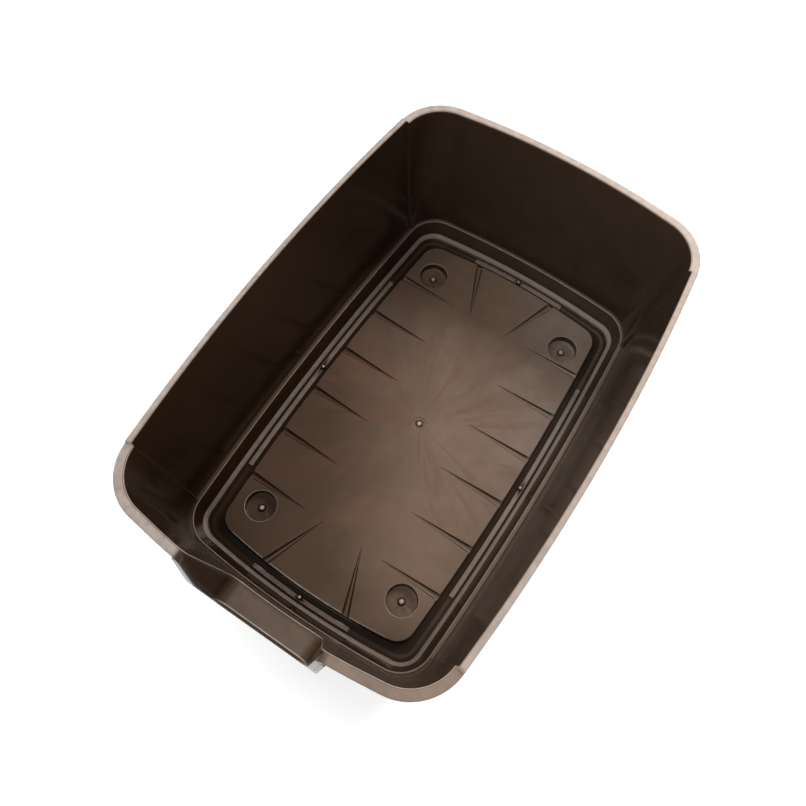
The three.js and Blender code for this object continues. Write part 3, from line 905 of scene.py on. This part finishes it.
# A painted highlight along a well's edge.
WELL_EDGE_TONE = 0.5
WELL_WALL = 0.0009  # the ring of painted shade inside a well's edge is this wide
GATE_SLOPE = ((0.0018, 0.0), (0.0006, 0.0002))  # in from the dimple's radius, and up from its floor
GATE_LIP = 0.0001
MARK_SLOPE = 0.0004
MARK_ABOVE = 0.0002
LEAD_IN = ((0.0004, -CUT_ABOVE), (0.0002, 0.0002), (0.0, 0.0005))  # out and up, at a socket's mouth
PIP_SUNK = 0.0005
GATE_DOME_SUNK = 0.0004
NUB_SUNK = 0.0006
BOSS_SIDES = 72
WELL_SIDES = 96
DOME_SIDES = 48
NUB_SIDES = 32
NUB_PLACE = 0.75  # how far in over the strip's width a nub stands


def at_wells(build):
    """Builds the same thing at each well."""
    return [build(i, Vector((well.x, well.y, 0))) for i, well in enumerate(WELLS)]


def boss(i, place, sizes, floor):
    """The thickening under a well."""
    bottom = floor.well_floor - sizes.floor
    radius = floor.well_radius + sizes.floor
    profile = [(radius - BOSS_EDGE, bottom), (radius, bottom + BOSS_EDGE),
               (radius + sizes.draft, sizes.panel_height - RIB_SUNK)]
    return turned(f"boss_{i}", profile, BOSS_SIDES, place)


def well_cutter(i, place, sizes, floor):
    """A round well: a flat floor with a filleted foot, and a rounded edge."""
    top, edge, radius = sizes.panel_height, floor.edge_round, floor.well_radius

    # A painted highlight on the edge, and a ring of painted shade down the wall.
    def tone(at_radius, z):
        if z > top - edge * 0.9:
            return WELL_EDGE_TONE
        return -1.0 if at_radius > radius - WELL_WALL else 0.0

    profile = [(AXIS_CLEAR, floor.well_floor)]
    profile += arc(radius - WELL_FOOT - WELL_LEAN, floor.well_floor + WELL_FOOT, WELL_FOOT, -90, 0, 4)
    profile += arc(radius + edge, top - edge, edge, 180, FLARE_START, 5)
    profile += [(radius + edge * 1.02, top + CUT_ABOVE)]
    return turned(f"well_{i}", profile, WELL_SIDES, place, tone)


def gate_cutter(sizes, floor):
    """The shallow dimple round the gate mark."""
    top, radius = sizes.panel_height, floor.gate_radius
    bottom = top - floor.gate_depth
    profile = [(AXIS_CLEAR, bottom)] + [(radius - back, bottom + up) for back, up in GATE_SLOPE]
    profile += [(radius - GATE_LIP, top - GATE_LIP), (radius, top + CUT_ABOVE)]
    return turned("gate", profile, BOSS_SIDES, centred(0, 0))


def ejector_cutter(sizes, floor):
    """The faint round mark of an ejector pin."""
    top, radius = sizes.panel_height, floor.ejector_radius
    bottom = top - floor.ejector_depth
    profile = [(AXIS_CLEAR, bottom), (radius - MARK_SLOPE, bottom), (radius, top + MARK_ABOVE)]
    return turned("mark", profile, BOSS_SIDES, centred(0, floor.ejector_y))


def socket_cutter(i, place, radius, bottom, top):
    """The blind socket under a pip, with a lead-in for the foot's stem."""
    profile = [(radius + out, bottom + up) for out, up in LEAD_IN] + [(radius, top)]
    return turned(f"socket_{i}", profile, DOME_SIDES, place)


def nubs(shape, floor):
    """The four nubs on the strips, one in the middle of each side."""
    sizes = shape.sizes
    line = shape.outline(0, sizes.strip_outer + sizes.strip_width * NUB_PLACE, sizes.trench_corner)
    across, along = line.side_x(0), line.end_y(0)
    places = ((across, 0), (-across, 0), (0, along), (0, -along))
    return [dome(f"nub_{i}", floor.nub_radius, floor.nub_radius, NUB_SUNK, NUB_SIDES,
                 centred(x, y, sizes.strip_height)) for i, (x, y) in enumerate(places)]


def build_pan(sizes, entry, floor, feet):
    """The pan's moulding, with what is cut into its floor and stands on it."""
    shape = PanShape(sizes, entry)
    top = sizes.panel_height
    pan = loft("pan", [shape.section(each) for each in shape.stations()])
    grooves = list(enumerate(groove_lines(shape, floor)))
    # Under the floor: a rib below each groove and a boss below each well.
    ribs = [trough(f"rib_{i}", start, mouth, floor, top, sizes.floor) for i, (start, mouth) in grooves]
    bosses = at_wells(lambda i, place: boss(i, place, sizes, floor))
    combine(pan, join_up("ribs", ribs), "UNION")
    combine(pan, join_up("bosses", bosses), "UNION")
    # Cut into the floor: grooves, wells, the gate's dimple and the ejector's mark.
    cutters = [trough(f"groove_{i}", start, mouth, floor, top) for i, (start, mouth) in grooves]
    cutters += at_wells(lambda i, place: well_cutter(i, place, sizes, floor))
    cutters += [gate_cutter(sizes, floor), ejector_cutter(sizes, floor)]
    combine(pan, join_up("cutters", cutters), "DIFFERENCE")
    # Standing on the floor: a pip in each well, the gate's dome and the four nubs.
    well_bottom = floor.well_floor - sizes.floor
    socket_radius = feet.stem_radius + feet.gap
    socket_top = well_bottom + feet.stem_length + feet.gap
    pip_radius = socket_radius + floor.pip_wall
    pip_height = socket_top + floor.pip_top - floor.well_floor
    lift = Vector((0, 0, floor.well_floor))
    domes = at_wells(lambda i, place: dome(f"pip_{i}", pip_radius, pip_height, PIP_SUNK, DOME_SIDES,
                                           place + lift))
    domes.append(dome("gate_dome", floor.dome_radius, floor.dome_height, GATE_DOME_SUNK, DOME_SIDES,
                      centred(0, 0, top - floor.gate_depth)))
    combine(pan, join_up("domes", domes + nubs(shape, floor)), "UNION")
    sockets = at_wells(lambda i, place: socket_cutter(i, place, socket_radius, well_bottom, socket_top))
    combine(pan, join_up("sockets", sockets), "DIFFERENCE")
    return pan


class LITTERPAN_OT_pan(bpy.types.Operator):
    """Builds the pan's moulding"""

    bl_idname = "litter_pan.pan"
    bl_label = "Build pan"

    def execute(self, context):
        scene = context.scene
        pan = build_pan(scene.pan_sizes, scene.entry_sizes, scene.floor_sizes, scene.foot_sizes)
        finish_surface(pan, pan_plastic(scene.plastic_look))
        stand_in(pan, "pan_shell")
        return {"FINISHED"}


# ---- The feet -------------------------------------------------------------------------------------

FOOT_SIDES = 64
FOOT_ROUND_STEPS = 5
DISH_EDGE = ((0.0008, 0.0001), (0.0012, 0.0))  # the dish's edge: out past its radius, and up
STEM_FILLET = 0.0003


def build_foot(name, feet, well_bottom, place):
    """A rubber foot: a pad with a shallow dish under it, and a stem that plugs into its socket."""
    top = well_bottom - feet.gap
    edge = feet.edge
    ring = feet.radius - edge
    profile = [(AXIS_CLEAR, feet.dish_depth), (feet.dish_radius, feet.dish_depth)]
    profile += [(feet.dish_radius + out, up) for out, up in DISH_EDGE]
    profile += arc(ring, edge, edge, -90, 0, FOOT_ROUND_STEPS)
    profile += arc(ring, top - edge, edge, 0, 90, FOOT_ROUND_STEPS)
    stem_top = top + feet.stem_length
    profile += [(feet.stem_radius + STEM_FILLET, top), (feet.stem_radius, top + STEM_FILLET)]
    profile += arc(feet.stem_radius - edge, stem_top - edge, edge, 0, 88, FOOT_ROUND_STEPS)
    profile += [(AXIS_CLEAR, stem_top)]
    return turned(name, profile, FOOT_SIDES, place)


class LITTERPAN_OT_feet(bpy.types.Operator):
    """Builds the four push-in feet"""

    bl_idname = "litter_pan.feet"
    bl_label = "Build feet"

    def execute(self, context):
        scene = context.scene
        well_bottom = scene.floor_sizes.well_floor - scene.pan_sizes.floor
        rubber = foot_rubber(scene.plastic_look)
        first = build_foot("foot", scene.foot_sizes, well_bottom, Vector((0, 0, 0)))
        finish_surface(first, rubber)
        for node, well in zip(FOOT_NODES, WELLS):
            activate(first)
            bpy.ops.object.duplicate()
            foot = take("rubber_" + node)
            bpy.ops.transform.translate(value=(well.x, well.y, 0))
            settle(foot)
            stand_in(foot, node)
        bpy.data.objects.remove(first)
        return {"FINISHED"}


# ---- Materials ------------------------------------------------------------------------------------

class Nodes:
    """A material's nodes, added and linked in one step each."""

    def __init__(self, name):
        self.material = bpy.data.materials.new(name)
        self.material.use_nodes = True
        self.tree = self.material.node_tree
        self.surface = self.tree.nodes["Principled BSDF"]

    def add(self, kind, inputs=(), **settings):
        node = self.tree.nodes.new("ShaderNode" + kind)
        for key, value in settings.items():
            setattr(node, key, value)
        for key, value in dict(inputs).items():
            self.put(node, key, value)
        return node

    def put(self, node, key, value):
        """Sets a socket, or links it to another node's output."""
        if isinstance(value, bpy.types.NodeSocket):
            self.tree.links.new(value, node.inputs[key])
        else:
            node.inputs[key].default_value = value

    def math(self, operation, a, b=0.0):
        return self.add("Math", {0: a, 1: b}, operation=operation).outputs[0]

    def noise(self, vector, scale, detail=3.0, roughness=0.5, distortion=0.0):
        inputs = {"Vector": vector, "Scale": scale, "Detail": detail, "Roughness": roughness,
                  "Distortion": distortion}
        return self.add("TexNoise", inputs).outputs["Fac"]

    def ramp(self, value, low, high, to_low=0.0, to_high=1.0):
        """A value spread from one range to another, eased and held at the ends."""
        inputs = {"Value": value, "From Min": low, "From Max": high, "To Min": to_low,
                  "To Max": to_high}
        return self.add("MapRange", inputs, interpolation_type="SMOOTHSTEP").outputs["Result"]

    def blend(self, share, first, second):
        """Mixes two colours."""
        node = self.add("Mix", data_type="RGBA")
        self.put(node, 0, share)
        for socket, value in ((6, first), (7, second)):
            value = (*value, 1.0) if not isinstance(value, bpy.types.NodeSocket) else value
            self.put(node, socket, value)
        return node.outputs[2]

    def finish(self, colour_, roughness, bumps):
        """Sets the surface's colour and roughness, and stacks its bumps."""
        self.put(self.surface, "Base Color", colour_)
        self.put(self.surface, "Roughness", roughness)
        normal = None
        for height, strength, distance in bumps:
            inputs = {"Height": height, "Strength": strength, "Distance": distance}
            if normal:
                inputs["Normal"] = normal
            normal = self.add("Bump", inputs).outputs["Normal"]
        self.put(self.surface, "Normal", normal)
        return self.material


FLOW_REACHES = 0.24  # flow marks fade out this far from the gate
FLOOR_ENDS = 0.020  # and between these heights
LEDGE_STARTS = 0.036
# Share of the paler brown in the floor's painted sheen.
SHEEN_SHARE = 0.2
SPECULAR = 0.36
SPECULAR_TINT = (1.0, 0.83, 0.69, 1.0)


def pan_plastic(look):
    """Glossy brown plastic: flow marks that run out from the gate, mottling, faint sink waves,
    fine grain, a painted sheen over the floor, painted shade on walls and hollows, and edges paler
    from wear and painted highlights."""
    nodes = Nodes("pan_plastic")
    place = nodes.add("TexCoord").outputs["Object"]
    from_gate = nodes.add("Mapping", {"Vector": place, "Location": (0, -CENTRE_Y, 0)}).outputs[0]
    x, y, z = nodes.add("SeparateXYZ", {0: from_gate}).outputs
    radius = nodes.math("SQRT", nodes.math("ADD", nodes.math("MULTIPLY", x, x),
                                           nodes.math("MULTIPLY", y, y)))
    safe = nodes.math("MAXIMUM", radius, 0.001)
    rays = nodes.add("CombineXYZ", {0: nodes.math("DIVIDE", x, safe), 1: nodes.math("DIVIDE", y, safe),
                                    2: nodes.math("MULTIPLY", radius, 1.6)}).outputs[0]
    streaks = nodes.noise(rays, 4.5, 5.0, 0.6, 0.6)
    clouds = nodes.noise(place, 7.0, 4.0, 0.55, 0.8)
    mottle = nodes.noise(place, 38.0, 5.0, 0.6)
    grain = nodes.noise(place, 420.0, 2.0)
    # The floor is painted paler towards the right and the back as a painted sheen, and flow marks run over
    # it.
    low = nodes.ramp(z, FLOOR_ENDS, LEDGE_STARTS, 1.0, 0.25)
    near = nodes.ramp(radius, 0.02, FLOW_REACHES, 1.0, 0.15)
    marked = nodes.math("MULTIPLY", low, near)
    flow = nodes.math("MULTIPLY", nodes.ramp(streaks, 0.46, 0.68), marked)
    cloudy = nodes.math("MULTIPLY", nodes.ramp(clouds, 0.50, 0.72), marked)
    sheen_drift = nodes.math("ADD", nodes.math("ADD", x, nodes.math("MULTIPLY", y, 0.5)),
                       nodes.math("MULTIPLY", nodes.math("SUBTRACT", clouds, 0.5), 0.16))
    body = nodes.blend(nodes.ramp(sheen_drift, -0.13, 0.05), look.deep, look.brown)
    painted_sheen = nodes.math("MULTIPLY", low, nodes.ramp(sheen_drift, 0.06, 0.2, 0.0, SHEEN_SHARE))
    body = nodes.blend(painted_sheen, body, look.pale)
    body = nodes.blend(nodes.ramp(mottle, 0.3, 0.7, 0.0, 0.2), body, look.deep)
    body = nodes.blend(nodes.math("MULTIPLY", flow, 0.55), body, look.flow)
    body = nodes.blend(nodes.math("MULTIPLY", cloudy, 0.5), body, look.flow)
    # The tone paints shade on walls and hollows, and paints edges paler for wear and painted highlights.
    tone = nodes.add("Attribute", attribute_name="tone").outputs["Fac"]
    dark = nodes.math("MULTIPLY", tone, -1.0)
    body = nodes.blend(nodes.ramp(dark, 0.0, 1.0, 0.0, 0.88), body, look.shade)
    worn_and_highlit = nodes.math("MAXIMUM", tone, 0.0)
    scuffs_and_highlights = nodes.math("MULTIPLY", worn_and_highlit, nodes.ramp(nodes.noise(place, 120.0, 4.0), 0.3, 0.7, 0.7))
    body = nodes.blend(scuffs_and_highlights, body, look.pale)
    roughness = nodes.ramp(tone, -0.4, 0.0, look.gloss, look.floor_gloss)
    roughness = nodes.math("ADD", roughness, nodes.ramp(mottle, 0.3, 0.7, 0.0, 0.06))
    nodes.surface.inputs["Specular IOR Level"].default_value = SPECULAR
    nodes.surface.inputs["Specular Tint"].default_value = SPECULAR_TINT
    waves = nodes.noise(place, 9.0, 1.0)
    return nodes.finish(body, roughness, [(waves, 0.2, 0.002), (grain, 0.015, 0.0001)])


def foot_rubber(look):
    """Matt rubber with a bloom of pale dust and a fine grain."""
    nodes = Nodes("foot_rubber")
    place = nodes.add("TexCoord").outputs["Object"]
    dust = nodes.noise(place, 160.0, 5.0, 0.6)
    grain = nodes.noise(place, 2200.0, 2.0)
    dusty = tuple(channel * 2.6 for channel in look.rubber)
    body = nodes.blend(nodes.ramp(dust, 0.4, 0.75, 0.0, 0.6), look.rubber, dusty)
    roughness = nodes.ramp(dust, 0.3, 0.7, 0.72, 0.88)
    return nodes.finish(body, roughness, [(dust, 0.2, 0.0003), (grain, 0.2, 0.0001)])


FLOOR_GLOW = 0.3  # lifts the studio floor's shadows


def floor_paint(look):
    """Plain pale floor with a slight tooth."""
    nodes = Nodes("studio_floor")
    place = nodes.add("TexCoord").outputs["Object"]
    tone = nodes.noise(place, 3.0, 2.0)
    shade = tuple(channel * 0.985 for channel in look.floor)
    body = nodes.blend(tone, look.floor, shade)
    nodes.surface.inputs["Emission Color"].default_value = (1, 1, 1, 1)
    nodes.surface.inputs["Emission Strength"].default_value = FLOOR_GLOW
    return nodes.finish(body, 0.9, [(nodes.noise(place, 300.0), 0.05, 0.0005)])


# ---- Studio ---------------------------------------------------------------------------------------

CAMERA_AZIMUTH = math.radians(29.1)
CAMERA_ELEVATION = math.radians(67.05)
CAMERA_ROLL = math.radians(4.376)
CAMERA_DISTANCE = 0.9384
CAMERA_TARGET = Vector((-0.03157, 0.01485, 0.016))
FIELD_SHARE = 0.935211  # focal length over the frame's width
SENSOR_MM = 36.0
STUDIO_WIDTH = 8
HORIZON_ENDS = 0.35  # heights, on a unit sphere, between which the surroundings fade
ZENITH_STARTS = 0.85
SOFT_BOXES = (  # each with its place, the place it faces, and its width and height
    ("back_box", (0.35, 1.8, 1.75), (0, 0, 0.05), (1.5, 0.9)),
    ("front_box", (0.15, -1.05, 2.1), (0, 0, 0.05), (1.4, 0.7)),
    ("left_box", (-1.5, 0.1, 1.5), (0, 0, 0.1), (0.8, 1.4)),
)


def add_camera():
    """A camera over the entry's right, looking steeply down."""
    deselect()
    back = Vector((math.sin(CAMERA_AZIMUTH) * math.cos(CAMERA_ELEVATION),
                   -math.cos(CAMERA_AZIMUTH) * math.cos(CAMERA_ELEVATION),
                   math.sin(CAMERA_ELEVATION)))
    bpy.ops.object.camera_add(location=CAMERA_TARGET + back * CAMERA_DISTANCE)
    camera = take("camera")
    turn = (-back).to_track_quat("-Z", "Y").to_matrix() @ Matrix.Rotation(CAMERA_ROLL, 3, "Z")
    camera.rotation_euler = turn.to_euler()
    camera.data.sensor_width = SENSOR_MM
    camera.data.lens = FIELD_SHARE * SENSOR_MM
    camera.data.clip_start = 0.01
    bpy.context.scene.camera = camera


def add_soft_box(name, place, towards, size, watts):
    """A wide, soft light that faces a place."""
    deselect()
    bpy.ops.object.light_add(type="AREA", location=place)
    light = take(name)
    light.data.shape = "RECTANGLE"
    light.data.size, light.data.size_y = size
    light.data.energy = watts
    light.rotation_euler = (Vector(towards) - Vector(place)).to_track_quat("-Z", "Y").to_euler()


def surroundings(look):
    """White surroundings that are bright low down and dim overhead."""
    world = bpy.data.worlds.new("surroundings")
    world.use_nodes = True
    tree = world.node_tree
    direction = tree.nodes.new("ShaderNodeTexCoord")
    split = tree.nodes.new("ShaderNodeSeparateXYZ")
    fade = tree.nodes.new("ShaderNodeMapRange")
    fade.interpolation_type = "SMOOTHSTEP"
    for socket, value in (("From Min", HORIZON_ENDS), ("From Max", ZENITH_STARTS),
                          ("To Min", look.horizon), ("To Max", look.zenith)):
        fade.inputs[socket].default_value = value
    tree.links.new(direction.outputs["Generated"], split.inputs[0])
    tree.links.new(split.outputs["Z"], fade.inputs["Value"])
    tree.links.new(fade.outputs["Result"], tree.nodes["Background"].inputs["Strength"])
    tree.nodes["Background"].inputs["Color"].default_value = (1, 1, 1, 1)
    return world


class LITTERPAN_OT_studio(bpy.types.Operator):
    """Adds the floor, the lights and the camera"""

    bl_idname = "litter_pan.studio"
    bl_label = "Build studio"

    def execute(self, context):
        look = context.scene.studio_look
        deselect()
        bpy.ops.mesh.primitive_plane_add(size=STUDIO_WIDTH, location=(0, 0, CAD_LOW.z))
        floor = settle(take("studio_floor"))
        floor.data.materials.append(floor_paint(look))
        for name, place, towards, size in SOFT_BOXES:
            add_soft_box(name, place, towards, size, getattr(look, name))
        context.scene.world = surroundings(look)
        context.scene.view_settings.view_transform = "Standard"
        add_camera()
        return {"FINISHED"}


# ---- Add-on ---------------------------------------------------------------------------------------

class LITTERPAN_PT_sidebar(bpy.types.Panel):
    """Lists the sizes and the build steps"""

    bl_label = "Litter pan"
    bl_idname = "LITTERPAN_PT_sidebar"
    bl_space_type = "VIEW_3D"
    bl_region_type = "UI"
    bl_category = "Litter pan"

    def draw(self, context):
        for operator in OPERATORS:
            self.layout.operator(operator.bl_idname)
        for name, group in GROUPS.items():
            box = self.layout.box()
            box.label(text=group.__name__)
            settings = getattr(context.scene, name)
            for field in group.__annotations__:
                box.prop(settings, field)


GROUPS = {
    "pan_sizes": PanSizes,
    "entry_sizes": EntrySizes,
    "floor_sizes": FloorSizes,
    "foot_sizes": FootSizes,
    "plastic_look": PlasticLook,
    "studio_look": StudioLook,
}
OPERATORS = (LITTERPAN_OT_pan, LITTERPAN_OT_feet, LITTERPAN_OT_studio)


def register():
    for group in (*GROUPS.values(), *OPERATORS, LITTERPAN_PT_sidebar):
        bpy.utils.register_class(group)
    for name, group in GROUPS.items():
        setattr(bpy.types.Scene, name, bpy.props.PointerProperty(type=group))


def unregister():
    for name in GROUPS:
        delattr(bpy.types.Scene, name)
    for group in reversed((*GROUPS.values(), *OPERATORS, LITTERPAN_PT_sidebar)):
        bpy.utils.unregister_class(group)


def main():
    register()
    bpy.ops.litter_pan.studio()
    bpy.ops.litter_pan.pan()
    bpy.ops.litter_pan.feet()


if __name__ == "__main__":
    main()
